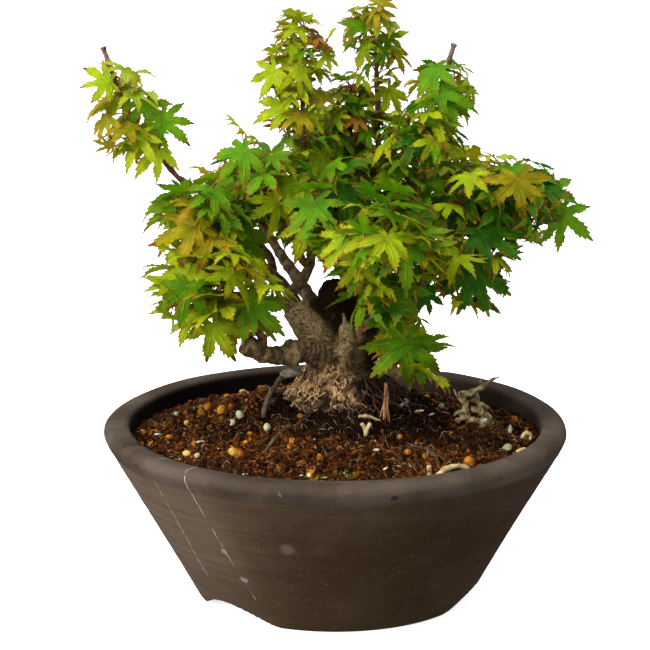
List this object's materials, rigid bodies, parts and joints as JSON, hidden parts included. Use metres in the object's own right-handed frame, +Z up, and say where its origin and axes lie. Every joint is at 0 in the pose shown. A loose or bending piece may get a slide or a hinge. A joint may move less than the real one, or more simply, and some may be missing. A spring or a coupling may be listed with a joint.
{
  "type": "potted maple bonsai",
  "caption": "Small Japanese maple bonsai with a short forked trunk and lobed green leaves, in soil in a round unglazed clay training pot that stands on low feet.",
  "frame": {"origin": "on the surface that the pot stands on, under the axis of the pot, at the middle of the plant and pot seen from above", "axes": "+Z up, -Y the tree's front, +X to the right as seen from the front"},
  "size_m": [0.2026, 0.2, 0.2543],
  "materials": {
    "clay": "matte",
    "soil": "matte",
    "bark": "matte",
    "young_bark": "matte",
    "leaves": "satin"
  },
  "bodies": {
    "root": {"pot": "clay", "soil": "soil", "trunk": "bark", "left_leader_bough": "young_bark", "shoulder_bough": "young_bark", "far_left_bough": "young_bark", "low_left_bough": "young_bark", "low_left_twig": "young_bark", "middle_bough": "young_bark", "centre_bough": "young_bark", "inner_left_bough": "young_bark", "right_leader_bough": "young_bark", "right_top_bough": "young_bark", "front_bough": "young_bark", "right_low_bough": "young_bark", "right_bough": "young_bark", "low_right_bough": "young_bark", "back_left_bough": "young_bark", "back_bough": "young_bark", "back_top_bough": "young_bark", "back_right_bough": "young_bark", "left_leader": "leaves", "middle_leader": "leaves", "right_leader": "leaves", "right_top": "leaves", "right": "leaves", "right_low": "leaves", "low_right": "leaves", "centre_front": "leaves", "centre": "leaves", "inner_left": "leaves", "left_shoulder": "leaves", "far_left": "leaves", "left_low": "leaves", "back_left": "leaves", "back": "leaves", "back_top": "leaves", "back_right": "leaves"}
  },
  "joints": []
}
